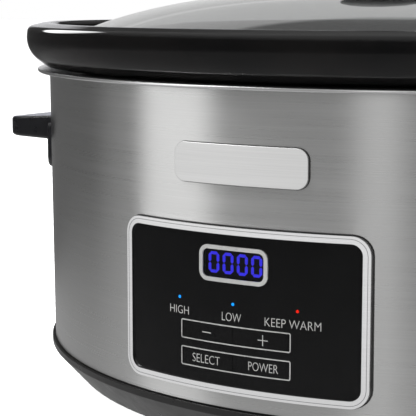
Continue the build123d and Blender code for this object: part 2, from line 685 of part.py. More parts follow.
# Glossy black face with a window, three lights and two slots for the keys
KEY_SLOT = (2 * KEY_SIZE[0] + KEY_SPLIT + 2 * KEY_GAP, KEY_SIZE[1] + 2 * KEY_GAP)
with BuildPart() as panel_face:
    face_size = (FACE_SIZE[0] - 0.2, FACE_SIZE[1] - 0.2)
    front_block(face_size, PANEL_Z, FACE_CORNER - 0.1, FACE_BACK, FACE_FRONT)
    front_cut(WINDOW_SIZE, DISPLAY_Z, WINDOW_CORNER)
    for light_x in LIGHTS.values():
        cylinder_y(light_x, LIGHT_Z, LIGHT_RADIUS + 0.1, *FRONT_WALL, mode=Mode.SUBTRACT)
    for row_z in KEY_ROWS.values():
        front_cut(KEY_SLOT, row_z, 1.0)
save(panel_face, "panel_face")

# Tray behind the face: a rectangular tube through the wrap with four posts for the board
POST_X, POST_Z = 48.6, 23.6
POSTS = [(x, z) for x in (-POST_X, POST_X) for z in (PANEL_Z - POST_Z, PANEL_Z + POST_Z)]
POST_RADIUS = 3.4
TRAY_BACK = -12.6
with BuildPart() as panel_tray:
    post_front = front_y(FACE_BACK - 0.1, POST_X + POST_RADIUS)
    front_block(TRAY_SIZE, PANEL_Z, 4.0, TRAY_BACK, FACE_BACK - 0.05)
    front_cut((TRAY_SIZE[0] - 3.2, TRAY_SIZE[1] - 3.2), PANEL_Z, 2.4)
    for post_x, post_z in POSTS:
        cylinder_y(post_x, post_z, POST_RADIUS, BOARD_Y, post_front)
        cylinder_y(post_x, post_z, 1.3, -110, BOARD_Y - 2, mode=Mode.SUBTRACT)
save(panel_tray, "panel_tray")

with BuildPart() as control_board:
    with BuildSketch(Plane.XZ.offset(-BOARD_Y - BOARD_THICKNESS)):
        with Locations((0, PANEL_Z)):
            RectangleRounded(TRAY_SIZE[0] - 4.2, TRAY_SIZE[1] - 4.2, 2)
            with GridLocations(2 * POST_X, 2 * POST_Z, 2, 2):
                Circle(1.5, mode=Mode.SUBTRACT)
    extrude(amount=BOARD_THICKNESS)
save(control_board, "control_board")

BOARD_BACK = BOARD_Y + BOARD_THICKNESS
with BuildPart() as board_screws:
    for post_x, post_z in POSTS:
        cylinder_y(post_x, post_z, 2.4, BOARD_BACK + 1.6, BOARD_BACK)
        cylinder_y(post_x, post_z, 1.2, BOARD_BACK + 0.5, BOARD_Y - 1.8)
save(board_screws, "board_screws")

# Window, its bright frame and the lit digits on the display module behind it
with BuildPart() as display_window:
    pane = (WINDOW_SIZE[0] - 0.1, WINDOW_SIZE[1] - 0.1)
    front_block(pane, DISPLAY_Z, WINDOW_CORNER - 0.05, FACE_BACK, FACE_FRONT)
save(display_window, "display_window")

with BuildPart() as display_frame:
    front_block(DISPLAY_SIZE, DISPLAY_Z, 4.3, FACE_FRONT + 0.02, FACE_FRONT + 0.7)
    front_cut(WINDOW_SIZE, DISPLAY_Z, WINDOW_CORNER)
save(display_frame, "display_frame")

MODULE_FRONT = -130.2
MODULE_SIZE = (WINDOW_SIZE[0] - 0.6, WINDOW_SIZE[1] + 2.4)
with BuildPart() as display_module:
    with BuildSketch(Plane.XZ.offset(-BOARD_Y)):
        with Locations((0, DISPLAY_Z)):
            Rectangle(*MODULE_SIZE)
    extrude(amount=BOARD_Y - MODULE_FRONT)
save(display_module, "display_module")

SEGMENT = 1.25             # width of a lit bar
SEGMENT_GAP = 0.25
DIGIT_DEPTH = 0.25


def segment_bar(centre_x, centre_z, length, upright_bar):
    """One lit bar with pointed ends, drawn in the display's plane."""
    half = SEGMENT / 2
    tip = length / 2
    upper = [(-tip, 0), (half - tip, half), (tip - half, half)]
    corners = upper + [(-u, -v) for u, v in upper]
    if upright_bar:
        corners = [(v, u) for u, v in corners]
    with BuildLine() as outline:
        Polyline([(centre_x + u, centre_z + v) for u, v in corners], close=True)
    make_face(outline.line)


with BuildPart() as display_digits:
    with BuildSketch(Plane.XZ.offset(-MODULE_FRONT)):
        for number in range(4):
            digit_x = (number - 1.5) * DIGIT_PITCH
            bar_x = DIGIT_SIZE[0] / 2 - SEGMENT / 2
            bar_z = DIGIT_SIZE[1] / 2 - SEGMENT / 2
            for side in (-1, 1):
                segment_bar(digit_x, DISPLAY_Z + side * bar_z, 2 * bar_x - SEGMENT_GAP, False)
                for half in (-1, 1):
                    middle_z = DISPLAY_Z + half * bar_z / 2
                    segment_bar(digit_x + side * bar_x, middle_z, bar_z - SEGMENT_GAP, True)
    extrude(amount=DIGIT_DEPTH)
save(display_digits, "display_digits")

# Light pipes from the board to the face
for light_name, light_x in LIGHTS.items():
    with BuildPart() as light_pipe:
        cylinder_y(light_x, LIGHT_Z, LIGHT_RADIUS, BOARD_Y, front_y(FACE_FRONT + 0.15, light_x))
        fillet(light_pipe.edges().sort_by(Axis.Y)[0], 0.3)
    save(light_pipe, f"light_{light_name}")

# Four push keys, flush with the face, each with lips behind it and a stem over its switch
KEY_LIP = 0.8
KEY_BACK = FACE_BACK - 1.6
KEY_X = KEY_SPLIT / 2 + KEY_SIZE[0] / 2
STEM_RADIUS = 1.6
STEM_END = -127.0
LIP_CLEARANCE = 0.35       # behind the face, so that a lip never touches it
for key_name, (row, side) in KEYS.items():
    row_z = KEY_ROWS[row]
    with BuildPart() as key:
        front_block(KEY_SIZE, row_z, 0.7, KEY_BACK, FACE_FRONT, x=side * KEY_X)
        lipped = (KEY_SIZE[0], KEY_SIZE[1] + 2 * KEY_LIP)
        front_block(lipped, row_z, 0.5, KEY_BACK, FACE_BACK - LIP_CLEARANCE, x=side * KEY_X)
        cylinder_y(side * KEY_X, row_z, STEM_RADIUS, STEM_END, front_y(KEY_BACK + 0.4, KEY_X))
    save(key, f"key_{key_name}")

# Push switches on the board, one behind each key
SWITCH_SIZE = 6.0
with BuildPart() as key_switches:
    for row, side in KEYS.values():
        with BuildSketch(Plane.XZ.offset(-BOARD_Y)):
            with Locations((side * KEY_X, KEY_ROWS[row])):
                Rectangle(SWITCH_SIZE, SWITCH_SIZE)
        extrude(amount=3.5)
        cylinder_y(side * KEY_X, KEY_ROWS[row], 1.7, BOARD_Y - 3.5, BOARD_Y - 4.3)
save(key_switches, "key_switches")

# ==== Electrics inside =======================================================================
# Power board on the pan's bosses, with its relay, transformer and terminal block
POWER_BOARD = ((-88.0, -8.0), (2.0, 58.0))
with BuildPart() as power_board:
    block(*POWER_BOARD, POWER_BOARD_Z)
    with Locations(*[(x, y, POWER_BOARD_Z[1]) for x, y in BOARD_BOSSES]):
        Hole(1.6)
save(power_board, "power_board")

with BuildPart() as power_board_screws:
    for boss_x, boss_y in BOARD_BOSSES:
        upright(boss_x, boss_y, 2.6, POWER_BOARD_Z[1], POWER_BOARD_Z[1] + 1.8)
        upright(boss_x, boss_y, BOARD_SCREW_RADIUS, 9.0, POWER_BOARD_Z[1] + 1)
save(power_board_screws, "power_board_screws")

BOARD_TOP = POWER_BOARD_Z[1]
LEAD_X = -45.0
with BuildPart() as transformer:
    block((-84.0, -57.0), (26.0, 49.0), (BOARD_TOP, BOARD_TOP + 5))
    block((-81.0, -60.0), (22.0, 53.0), (BOARD_TOP + 5, BOARD_TOP + 15))
    block((-84.0, -57.0), (26.0, 49.0), (BOARD_TOP + 15, BOARD_TOP + 18))
save(transformer, "transformer")

with BuildPart() as relay:
    block((-34.0, -15.0), (28.0, 44.0), (BOARD_TOP, BOARD_TOP + 15.5))
    fillet(edges().group_by(Axis.Z)[-1], 0.6)
save(relay, "relay")

with BuildPart() as terminal_block:
    block((LEAD_X - 13, LEAD_X + 13), (8.0, 18.0), (BOARD_TOP, BOARD_TOP + 12))
    for screw_x in (LEAD_X - 8, LEAD_X, LEAD_X + 8):
        upright(screw_x, 13.0, 2.2, BOARD_TOP + 8, BOARD_TOP + 13, mode=Mode.SUBTRACT)
save(terminal_block, "terminal_block")

# Flat cable between the two boards, with a header at each end
CABLE_X = -24.0
CABLE_Z = BOARD_TOP + 3.0
CABLE_Y = -115.5           # between the tray and the heat shield
CABLE_START = 7.0
CABLE_WIDTH = 12.0
with BuildPart() as cable_headers:
    block((CABLE_X - 7, CABLE_X + 7), (CABLE_START, 12.0), (BOARD_TOP, BOARD_TOP + 6))
    block((CABLE_X - 7, CABLE_X + 7), (BOARD_BACK, CABLE_Y - 0.5), (42.0, 49.0))
save(cable_headers, "cable_headers")

with BuildPart() as board_cable:
    with BuildLine() as cable_path:
        FilletPolyline(
            (CABLE_X, CABLE_START, CABLE_Z),
            (CABLE_X, CABLE_Y, CABLE_Z),
            (CABLE_X, CABLE_Y, 49.0),
            radius=7.0,
        )
    with BuildSketch(Plane((CABLE_X, CABLE_START, CABLE_Z), x_dir=(1, 0, 0), z_dir=(0, -1, 0))):
        Rectangle(CABLE_WIDTH, 0.9)
    sweep()
save(board_cable, "board_cable")

# Two leads from the band's ends down to the terminal block
LEAD_RADIUS = 1.3
with BuildPart() as heater_leads:
    for side in (-1, 1):
        lead_start = (side * 13.0, drafted(WELL_OUTER, BAND_BOTTOM) + HALF_WIDTH + 1.2, BAND_BOTTOM)
        with BuildLine():
            FilletPolyline(
                lead_start,
                (lead_start[0], lead_start[1], 27.0),
                (LEAD_X + side * 4.0, 70.0, 27.0),
                (LEAD_X + side * 4.0, 18.0, 27.0),
                radius=9.0,
            )
        with BuildSketch(Plane(origin=lead_start, z_dir=(0, 0, -1))):
            Circle(LEAD_RADIUS)
        sweep()
save(heater_leads, "heater_leads")

# Thermal fuse and temperature sensor held against the well's underside
FUSE_AT = (38.0, 26.0)
FUSE_RADIUS = 2.2
with BuildPart() as thermal_fuse:
    with BuildSketch(Plane.YZ.offset(FUSE_AT[0] - 8)):
        with Locations((FUSE_AT[1], WELL_BOTTOM - FUSE_RADIUS - 0.05)):
            Circle(FUSE_RADIUS)
    extrude(amount=16.0)
    fillet(edges(), 0.5)
save(thermal_fuse, "thermal_fuse")

CLIP_GAUGE = 0.6
with BuildPart() as fuse_clip:
    with BuildSketch(Plane.YZ.offset(FUSE_AT[0] - 3)):
        with BuildLine():
            clip_out = FUSE_RADIUS + 0.1 + CLIP_GAUGE
            clip_low = WELL_BOTTOM - 2 * FUSE_RADIUS - 0.2 - CLIP_GAUGE
            Polyline(
                (FUSE_AT[1] - 9, WELL_BOTTOM),
                (FUSE_AT[1] - 9, WELL_BOTTOM - CLIP_GAUGE),
                (FUSE_AT[1] - clip_out, WELL_BOTTOM - CLIP_GAUGE),
                (FUSE_AT[1] - clip_out, clip_low),
                (FUSE_AT[1] + clip_out, clip_low),
                (FUSE_AT[1] + clip_out, WELL_BOTTOM - CLIP_GAUGE),
                (FUSE_AT[1] + 9, WELL_BOTTOM - CLIP_GAUGE),
                (FUSE_AT[1] + 9, WELL_BOTTOM),
                (FUSE_AT[1] + clip_out - CLIP_GAUGE, WELL_BOTTOM),
                (FUSE_AT[1] + clip_out - CLIP_GAUGE, clip_low + CLIP_GAUGE),
                (FUSE_AT[1] - clip_out + CLIP_GAUGE, clip_low + CLIP_GAUGE),
                (FUSE_AT[1] - clip_out + CLIP_GAUGE, WELL_BOTTOM),
                close=True,
            )
        make_face()
    extrude(amount=6.0)
save(fuse_clip, "fuse_clip")

SENSOR_AT = (36.0, -24.0)
with BuildPart() as temperature_sensor:
    upright(*SENSOR_AT, 6.0, WELL_BOTTOM - 1.2, WELL_BOTTOM)
    upright(*SENSOR_AT, 3.2, WELL_BOTTOM - 6.0, WELL_BOTTOM - 1.2)
save(temperature_sensor, "temperature_sensor")
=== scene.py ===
"""Looks for an oval slow cooker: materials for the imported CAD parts, finer glaze and glass,
printing and trim on its front, a plain floor, studio light and a camera. Metres, in the CAD's
own frame, unless a name or comment says millimetres."""

import math

import bmesh
import bpy
from mathutils import Matrix, Vector


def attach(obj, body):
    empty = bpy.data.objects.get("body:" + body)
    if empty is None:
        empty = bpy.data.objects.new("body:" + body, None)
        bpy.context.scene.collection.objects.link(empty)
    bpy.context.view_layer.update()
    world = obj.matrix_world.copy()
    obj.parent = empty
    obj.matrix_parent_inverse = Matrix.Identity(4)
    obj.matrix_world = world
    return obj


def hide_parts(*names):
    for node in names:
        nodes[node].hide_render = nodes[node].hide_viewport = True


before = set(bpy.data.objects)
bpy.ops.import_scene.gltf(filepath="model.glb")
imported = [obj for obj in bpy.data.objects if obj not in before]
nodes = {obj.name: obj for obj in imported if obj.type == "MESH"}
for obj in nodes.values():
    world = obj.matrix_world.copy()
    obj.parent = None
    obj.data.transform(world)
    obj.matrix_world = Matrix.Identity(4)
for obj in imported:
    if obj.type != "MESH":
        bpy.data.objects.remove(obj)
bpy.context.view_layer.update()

MM = 0.001

# The steel wrap's four-centre oval at its top edge, as in the CAD
HALF_LENGTH = 180.0 * MM
HALF_WIDTH = 131.6 * MM
END_RADIUS = 73.3 * MM
END_CENTRE = HALF_LENGTH - END_RADIUS
SIDE_RADIUS = (END_CENTRE**2 + HALF_WIDTH**2 - END_RADIUS**2) / (2 * (HALF_WIDTH - END_RADIUS))
SIDE_CENTRE = SIDE_RADIUS - HALF_WIDTH
SPREAD = math.degrees(math.atan2(SIDE_CENTRE, END_CENTRE))
# each arc's centre, radius, first angle and sweep
OVAL_ARCS = (
    (END_CENTRE, 0, END_RADIUS, -SPREAD, 2 * SPREAD),
    (0, -SIDE_CENTRE, SIDE_RADIUS, SPREAD, 180 - 2 * SPREAD),
    (-END_CENTRE, 0, END_RADIUS, 180 - SPREAD, 2 * SPREAD),
    (0, SIDE_CENTRE, SIDE_RADIUS, 180 + SPREAD, 180 - 2 * SPREAD),
)
WRAP_TOP = 159.9           # millimetres
FACE_FRONT = 0.9           # front of the panel's black face, millimetres out from the oval


# ---- Procedural materials -------------------------------------------------------------------
class Finish:
    """A Principled material and the few texture nodes that drive it, in the frame's metres."""

    def __init__(self, name, colour, roughness=0.5, metallic=0.0, **sockets):
        self.material = bpy.data.materials.new(name)
        self.material.use_nodes = True
        self.tree = self.material.node_tree
        self.shader = self.tree.nodes["Principled BSDF"]
        self.colour = colour
        self.set("Base Color", (*colour, 1.0))
        self.set("Roughness", roughness)
        self.set("Metallic", metallic)
        for socket, value in sockets.items():
            self.set(socket.replace("_", " ").title(), value)
        self.place = self.tree.nodes.new("ShaderNodeTexCoord").outputs["Object"]

    def set(self, socket, value):
        self.shader.inputs["IOR" if socket == "Ior" else socket].default_value = value

    def link(self, output, socket):
        self.tree.links.new(output, self.shader.inputs[socket])

    def node(self, kind, **values):
        """New node with its inputs set; capitals and spaces come from the keyword."""
        made = self.tree.nodes.new(kind)
        for socket, value in values.items():
            made.inputs[socket.replace("_", " ").title()].default_value = value
        return made

    def pattern(self, kind, stretch=(1, 1, 1), **values):
        """Texture in the object's coordinates, scaled along each axis to run in one direction."""
        mapping = self.node("ShaderNodeMapping", scale=stretch)
        self.tree.links.new(self.place, mapping.inputs["Vector"])
        made = self.node(kind, **values)
        self.tree.links.new(mapping.outputs["Vector"], made.inputs["Vector"])
        return made

    def noise(self, scale, stretch=(1, 1, 1), detail=3.0, rough=0.55):
        made = self.pattern(
            "ShaderNodeTexNoise", stretch, scale=scale, detail=detail, roughness=rough
        )
        return made.outputs["Fac"]

    def cells(self, scale, feature="F1"):
        made = self.pattern("ShaderNodeTexVoronoi", scale=scale)
        made.feature = feature
        return made.outputs["Distance"]

    def waves(self, scale, axis):
        made = self.pattern("ShaderNodeTexWave", scale=scale)
        made.bands_direction = axis
        return made.outputs["Fac"]

    def range(self, value, low, high, start=0.3, end=0.7):
        """Rescale a pattern's useful range, start to end, to low to high."""
        made = self.node(
            "ShaderNodeMapRange", from_min=start, from_max=end, to_min=low, to_max=high
        )
        self.tree.links.new(value, made.inputs["Value"])
        return made.outputs["Result"]

    def join(self, first, second, operation="ADD"):
        made = self.node("ShaderNodeMath")
        made.operation = operation
        self.tree.links.new(first, made.inputs[0])
        self.tree.links.new(second, made.inputs[1])
        return made.outputs["Value"]

    def blend(self, factor, colour_low, colour_high):
        """Colour that goes from one to the other as a pattern goes from 0 to 1."""
        made = self.node("ShaderNodeMix")
        made.data_type = "RGBA"
        made.inputs[6].default_value = (*colour_low, 1.0)
        made.inputs[7].default_value = (*colour_high, 1.0)
        self.tree.links.new(factor, made.inputs[0])
        return made.outputs[2]

    def mottle(self, factor, share):
        """Base colour varied by a share either side of the finish's own colour."""
        low = [c * (1 - share) for c in self.colour]
        high = [min(1.0, c * (1 + share)) for c in self.colour]
        self.link(self.blend(factor, low, high), "Base Color")

    def bump(self, height, depth, strength):
        made = self.node("ShaderNodeBump", strength=strength, distance=depth)
        self.tree.links.new(height, made.inputs["Height"])
        self.link(made.outputs["Normal"], "Normal")

    def brushed_round(self, amount):
        """Brushing that runs round the Z axis, so that highlights spread up and down."""
        tangent = self.node("ShaderNodeTangent")
        tangent.direction_type = "RADIAL"
        tangent.axis = "Z"
        self.link(tangent.outputs["Tangent"], "Tangent")
        self.set("Anisotropic", amount)
        self.set("Anisotropic Rotation", 0.25)


def brushed_steel(name, colour, roughness, spread, anisotropy, depth):
    """Steel with fine lines that run round the body."""
    made = Finish(name, colour, roughness, metallic=1.0)
    fine = made.noise(1.0, (14, 14, 2600), detail=4.0, rough=0.7)
    broad = made.noise(1.0, (5, 5, 260), detail=2.0)
    lines = made.join(made.range(fine, 0, 0.75), made.range(broad, 0, 0.25))
    made.mottle(lines, share=0.07)
    made.link(made.range(lines, roughness - spread, roughness + spread, 0, 1), "Roughness")
    made.bump(fine, depth, strength=0.5)
    made.brushed_round(anisotropy)
    return made.material


def plated_steel(name, colour, roughness):
    """Plated or plain sheet: faint crystals and cloudy roughness."""
    made = Finish(name, colour, roughness, metallic=1.0)
    made.mottle(made.cells(420), share=0.16)
    made.link(made.range(made.noise(300), roughness - 0.08, roughness + 0.12), "Roughness")
    return made.material


def moulded(name, colour, roughness, grain=2200, depth=0.02 * MM, metallic=0.0):
    """Moulded plastic, rubber, paint or ink: fine grain, slight cloudiness."""
    made = Finish(name, colour, roughness, metallic)
    made.mottle(made.range(made.noise(55), 0, 1), share=0.1)
    made.link(made.range(made.noise(140), roughness - 0.05, roughness + 0.05), "Roughness")
    made.bump(made.noise(grain, detail=2.0), depth, strength=0.6)
    return made.material


def glowing(name, colour, strength):
    """A lit lens: darker specks in its glow, with a gloss of its own."""
    dark = 0.35
    made = Finish(name, [c * 0.3 for c in colour], 0.25)
    made.set("Emission Color", (*colour, 1.0))
    grain = made.range(made.noise(900, detail=1.0), 1 - dark, 1.0)
    dim = [c * (1 - dark) for c in colour]
    made.link(made.blend(grain, dim, colour), "Emission Color")
    made.set("Emission Strength", strength)
    return made.material


def stoneware(name):
    """Black glaze: a slow ripple and a faint brown break where it thins."""
    made = Finish(name, (0.0045, 0.0045, 0.0048), 0.05)
    cloud = made.range(made.noise(26, detail=4.0), 0, 1)
    thin_glaze, thick_glaze = (0.0068, 0.0062, 0.006), (0.0032, 0.0032, 0.0034)
    made.link(made.blend(cloud, thick_glaze, thin_glaze), "Base Color")
    made.link(made.range(made.noise(60), 0.035, 0.075), "Roughness")
    made.bump(made.noise(48, detail=1.0), 0.05 * MM, strength=0.35)
    return made.material


def circuit_board(name):
    """Solder mask over a maze of tracks."""
    made = Finish(name, (0.02, 0.13, 0.05), 0.35)
    tracks = made.range(made.cells(260, "DISTANCE_TO_EDGE"), 0, 1, 0.02, 0.09)
    made.link(made.blend(tracks, (0.035, 0.2, 0.08), (0.015, 0.1, 0.04)), "Base Color")
    made.bump(tracks, 0.03 * MM, strength=0.5)
    return made.material


def woven(name, light, dark):
    """Glass cloth: two crossed waves."""
    pitch = 1.2 * MM
    made = Finish(name, light, 0.85)
    wave_scale = 1 / (pitch * 6.28)
    weave = made.join(made.waves(wave_scale, "Z"), made.waves(wave_scale, "DIAGONAL"), "MULTIPLY")
    made.link(made.blend(made.range(weave, 0, 1, 0.0, 0.8), dark, light), "Base Color")
    made.bump(weave, 0.15 * MM, strength=0.7)
    made.set("Sheen Weight", 0.3)
    return made.material


def clear(name, colour, ior, cloud_scale, most_rough):
    """Glass or clear plastic with a trace of cloudiness in its polish."""
    made = Finish(name, colour, 0.0, transmission_weight=1.0, ior=ior)
    made.link(made.range(made.noise(cloud_scale), 0.0, most_rough), "Roughness")
    return made.material


# One row for each material slot: its maker, and what the maker takes after the name
FINISHES = {
    name: maker(name, *values)
    for name, maker, *values in (
        # colour, roughness, spread of roughness, anisotropy, depth of the lines
        ("brushed_steel", brushed_steel, (0.60, 0.60, 0.595), 0.30, 0.05, 0.9, 0.004 * MM),
        ("bright_steel", brushed_steel, (0.74, 0.74, 0.74), 0.24, 0.04, 0.5, 0.002 * MM),
        ("well_steel", brushed_steel, (0.50, 0.50, 0.49), 0.42, 0.06, 0.4, 0.006 * MM),
        ("badge_steel", brushed_steel, (0.84, 0.84, 0.835), 0.38, 0.05, 0.6, 0.003 * MM),
        ("bezel_chrome", brushed_steel, (0.88, 0.88, 0.885), 0.22, 0.03, 0.3, 0.001 * MM),
        # darker steel that paints the shade in the bezel's groove
        ("groove_steel", brushed_steel, (0.32, 0.32, 0.33), 0.3, 0.03, 0.3, 0.001 * MM),
        # colour, roughness
        ("zinc_steel", plated_steel, (0.62, 0.63, 0.65), 0.3),
        ("sheet_aluminium", plated_steel, (0.78, 0.78, 0.79), 0.35),
        ("brass", plated_steel, (0.72, 0.55, 0.25), 0.28),
        # colour, roughness, grain's scale, grain's depth, metallic share
        ("frame_metal", moulded, (0.50, 0.50, 0.49), 0.35, 2200, 0.004 * MM, 0.4),
        ("transformer_iron", moulded, (0.05, 0.045, 0.04), 0.5, 2200, 0.02 * MM, 0.5),
        ("black_plastic", moulded, (0.012, 0.0115, 0.0115), 0.32, 2200, 0.012 * MM),
        ("handle_plastic", moulded, (0.010, 0.010, 0.012), 0.30, 2200, 0.012 * MM),
        ("knob_plastic", moulded, (0.008, 0.008, 0.009), 0.16, 2200, 0.004 * MM),
        ("panel_gloss", moulded, (0.0042, 0.0042, 0.0044), 0.10, 500, 0.001 * MM),
        ("print_grey", moulded, (0.42, 0.42, 0.41), 0.5, 3000, 0.002 * MM),
        ("foot_rubber", moulded, (0.018, 0.018, 0.018), 0.8, 2200, 0.05 * MM),
        ("silicone", moulded, (0.03, 0.03, 0.03), 0.55),
        ("display_black", moulded, (0.003, 0.003, 0.004), 0.5),
        ("switch_plastic", moulded, (0.03, 0.035, 0.05), 0.45),
        ("terminal_plastic", moulded, (0.70, 0.68, 0.62), 0.45),
        ("cable_grey", moulded, (0.36, 0.36, 0.37), 0.5),
        # colour, strength of the glow
        ("digit_blue", glowing, (0.05, 0.04, 0.92), 0.9),
        ("light_blue", glowing, (0.0, 0.30, 1.0), 1.2),
        ("light_red", glowing, (0.75, 0.01, 0.0), 1.0),
        # colour, refractive index, scale of the cloudiness, highest roughness
        ("lid_glass", clear, (0.97, 0.985, 0.98), 1.5, 35, 0.015),
        ("display_window", clear, (0.8, 0.8, 0.85), 1.2, 60, 0.02),
        # light and dark of the weave
        ("glass_cloth", woven, (0.62, 0.59, 0.51), (0.32, 0.29, 0.23)),
        ("glazed_stoneware", stoneware),
        ("circuit_board", circuit_board),
    )
}

for node in nodes.values():
    for slot in node.material_slots:
        slot.material = FINISHES[slot.material.name.split(".")[0]]


# ---- New objects ----------------------------------------------------------------------------
def shown(name, data):
    """New object in the scene."""
    made = bpy.data.objects.new(name, data)
    bpy.context.scene.collection.objects.link(made)
    return made


def plain_mesh(name, vertices, faces):
    mesh = bpy.data.meshes.new(name)
    mesh.from_pydata(vertices, [], faces)
    mesh.update()
    return mesh


def piece(name, mesh, material, body):
    """Finished mesh that rides on a body."""
    mesh.materials.clear()
    mesh.materials.append(material)
    made = shown(name, mesh)
    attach(made, body)
    return made


# ---- Glaze and glass ------------------------------------------------------------------------
# The crock and the lid keep the CAD's sections and sizes; finer steps round the oval give their
# gloss clean reflections. Offsets from the oval and heights are in millimetres here.
RING_SPACING = 2.0 * MM
CORNER_STEP = 6            # degrees between points on a section's rounded corner
FLAT_STEP = 0.3            # short step before a corner that keeps the straight run flat
SHARP_ANGLE = math.radians(35)


def oval_ring(offset, z, scale=1.0):
    """Points round the oval at a distance outside it and a height."""
    points = []
    for x, y, radius, start, arc in OVAL_ARCS:
        count = round(radius * math.radians(arc) / RING_SPACING)
        reach = radius + offset * MM
        for part in range(count):
            angle = math.radians(start + arc * part / count)
            out = Vector((x + reach * math.cos(angle), y + reach * math.sin(angle), 0)) * scale
            points.append(out + Vector((0, 0, z * MM)))
    return points


def rounded_section(corners):
    """Open section through corners, each given as a point and the radius that rounds it."""
    section = []
    points = [Vector(point) for point, _ in corners]
    for i, (_, radius) in enumerate(corners):
        here = points[i]
        if not radius:
            section.append(here)
            continue
        back = (points[i - 1] - here).normalized()
        ahead = (points[i + 1] - here).normalized()
        half = back.angle(ahead) / 2
        centre = here + (back + ahead).normalized() * radius / math.sin(half)
        start = here + back * radius / math.tan(half) - centre
        end = here + ahead * radius / math.tan(half) - centre
        turn = math.pi - 2 * half
        side = (end - start * math.cos(turn)) / math.sin(turn)
        steps = max(2, round(math.degrees(turn) / CORNER_STEP))
        section.append(centre + start + back * FLAT_STEP)
        for step in range(steps + 1):
            angle = turn * step / steps
            section.append(centre + start * math.cos(angle) + side * math.sin(angle))
        section.append(centre + end + ahead * FLAT_STEP)
    return section


def skin(name, rings, closed, body, slot, node):
    """Smooth mesh through rings of points that stands for a CAD node; an open one is capped."""
    count = len(rings[0])
    vertices = [point for ring in rings for point in ring]
    joins = list(zip(range(len(rings)), range(1, len(rings))))
    if closed:
        joins.append((len(rings) - 1, 0))
    faces = []
    for a, b in joins:
        for i in range(count):
            j = (i + 1) % count
            faces.append((a * count + i, a * count + j, b * count + j, b * count + i))
    if not closed:
        for ring in (0, len(rings) - 1):
            hub = len(vertices)
            vertices.append(sum(rings[ring], Vector()) / count)
            for i in range(count):
                faces.append((ring * count + i, ring * count + (i + 1) % count, hub))
    mesh = plain_mesh(name, vertices, faces)
    shaped = bmesh.new()
    shaped.from_mesh(mesh)
    bmesh.ops.recalc_face_normals(shaped, faces=shaped.faces)
    shaped.to_mesh(mesh)
    shaped.free()
    mesh.shade_smooth()
    mesh.set_sharp_from_angle(angle=SHARP_ANGLE)
    made = piece(name, mesh, FINISHES[slot], body)
    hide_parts(node)
    return made


# Crock: out over the cavity's floor, up its wall, over the ledge and the rim, down the outside
DRAFT = 0.11               # slope of the crock's walls
CAVITY_OFFSET = -24.5      # walls' offsets from the oval at the height of the wrap's top
WALL_OFFSET = -18.0
CAVITY_FLOOR, FOOT_Z, FOOT_RECESS = 52.0, 44.0, 45.2
CAVITY_TOP, LEDGE_Z = 168.0, 172.0
RIM_INNER = -3.2
FLANGE_Z = 162.6
SECTION_END = -60.0        # where the caps close the floor's middle


def drafted(offset, z):
    """Point at a height on one of the crock's sloping walls."""
    return offset - DRAFT * (WRAP_TOP - z), z


crock_section = rounded_section(
    [
        ((SECTION_END, CAVITY_FLOOR), 0),
        (drafted(CAVITY_OFFSET, CAVITY_FLOOR), 22.0),
        (drafted(CAVITY_OFFSET, CAVITY_TOP), 6.0),
        ((-17.5, LEDGE_Z), 3.5),
        ((RIM_INNER, LEDGE_Z), 1.5),
        ((RIM_INNER, 183.2), 3.0),
        ((1.5, 184.6), 9.0),
        ((10.8, 182.4), 3.3),
        ((12.2, 170.6), 13.8),
        ((2.0, 163.0), 1.2),
        ((0.0, FLANGE_Z), 1.0),
        (drafted(WALL_OFFSET, FLANGE_Z), 2.0),
        (drafted(WALL_OFFSET, FOOT_Z), 27.0),
        ((-52.0, FOOT_Z), 0),
        ((-52.0, FOOT_RECESS), 0),
        ((SECTION_END, FOOT_RECESS), 0),
    ]
)
crock_rings = [oval_ring(offset, z) for offset, z in crock_section]
crock_glaze = skin("crock_glaze", crock_rings, False, "crock", "glazed_stoneware", "crock")

# Lid: ovals that shrink towards the crown, a polished edge, and a hole for the knob's screw
LID_INSET = -7.0           # the edge's offset from the oval
LID_SEAT, LID_EDGE = 172.4, 176.0
LID_RISE = 24.0
LID_THINNING = 0.2         # how much less the inner face rises
LID_POWER = 2.83           # how flat the crown is
LID_INNER = 0.965          # inner face's size as a share of the outer's
LID_LAND = 0.969           # the same where the polished edge ends underneath
LID_HOLE = 3.2 * MM
CROWN_SHARE = 0.1          # size of the innermost ring
DOME_RINGS = 60


def dome_rings(scale, base, rise):
    """Rings from the crown out to near the edge."""
    rings = []
    for step in range(DOME_RINGS):
        share = CROWN_SHARE + (1 - CROWN_SHARE) * step / DOME_RINGS
        rings.append(oval_ring(LID_INSET, base + rise * (1 - share**LID_POWER), scale * share))
    return rings


def hole_ring(ring):
    """Circle of the knob's hole, at the height of a ring."""
    return [Vector((*(point.xy.normalized() * LID_HOLE), point.z)) for point in ring]


lid_outer = dome_rings(1.0, LID_EDGE, LID_RISE)
lid_inner = dome_rings(LID_INNER, LID_SEAT, LID_RISE - LID_THINNING)
lid_rim = [
    oval_ring(LID_INSET - inward, z)
    for inward, z in (
        (0.8, LID_EDGE + 0.42),
        (0.24, LID_EDGE + 0.02),
        (0.0, LID_EDGE - 0.6),
        (0.0, LID_SEAT + 0.7),
        (0.24, LID_SEAT + 0.22),
        (0.8, LID_SEAT),
    )
]
lid_foot = [oval_ring(LID_INSET, LID_SEAT, share) for share in (LID_LAND, LID_INNER)]
lid_rings = [
    hole_ring(lid_outer[0]),
    *lid_outer,
    *lid_rim,
    *lid_foot,
    *reversed(lid_inner),
    hole_ring(lid_inner[0]),
]
lid_dome = skin("lid_dome", lid_rings, True, "lid", "lid_glass", "lid_glass")


# ---- Printing and trim on the front ---------------------------------------------------------
# Places, sizes and distances out from the oval are in millimetres here.
INK_HEIGHT = 0.05
OUTLINE_STEP = 2.0
OUTLINE_CORNER_STEPS = 6


